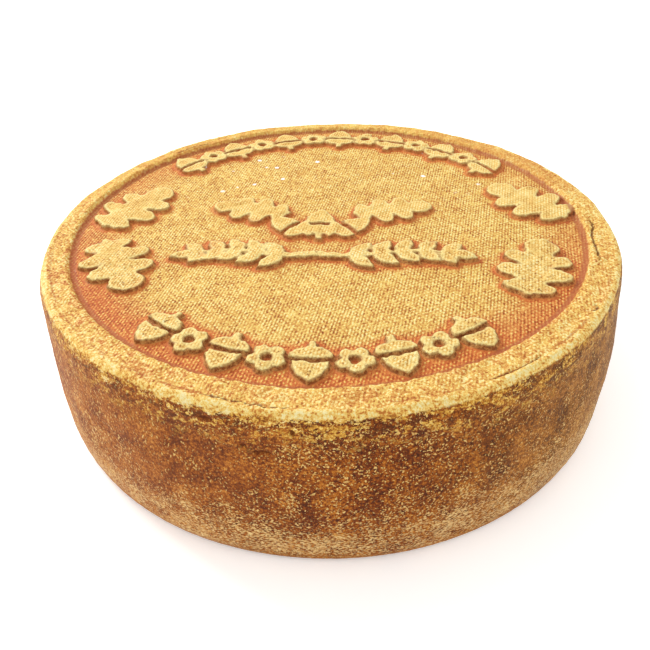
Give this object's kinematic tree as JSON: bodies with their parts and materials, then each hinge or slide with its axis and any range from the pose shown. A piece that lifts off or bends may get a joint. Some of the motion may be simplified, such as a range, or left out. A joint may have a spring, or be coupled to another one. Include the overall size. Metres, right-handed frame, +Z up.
{
  "type": "cheese wheel",
  "caption": "Round wheel of ripened cheese with a bulging side, a raised flat rim and a sunken top pressed with a low relief of leaves, acorns and flowers.",
  "frame": {"origin": "centre of the flat face the wheel rests on", "axes": "+Z up through the wheel's axis, -Y towards the front row of the relief, +X to its right"},
  "size_m": [0.2996, 0.2998, 0.086],
  "materials": {
    "rind": "dry golden-brown cheese rind with a cloth imprint, matt"
  },
  "bodies": {
    "root": {"cheese_wheel": "rind"}
  },
  "joints": []
}
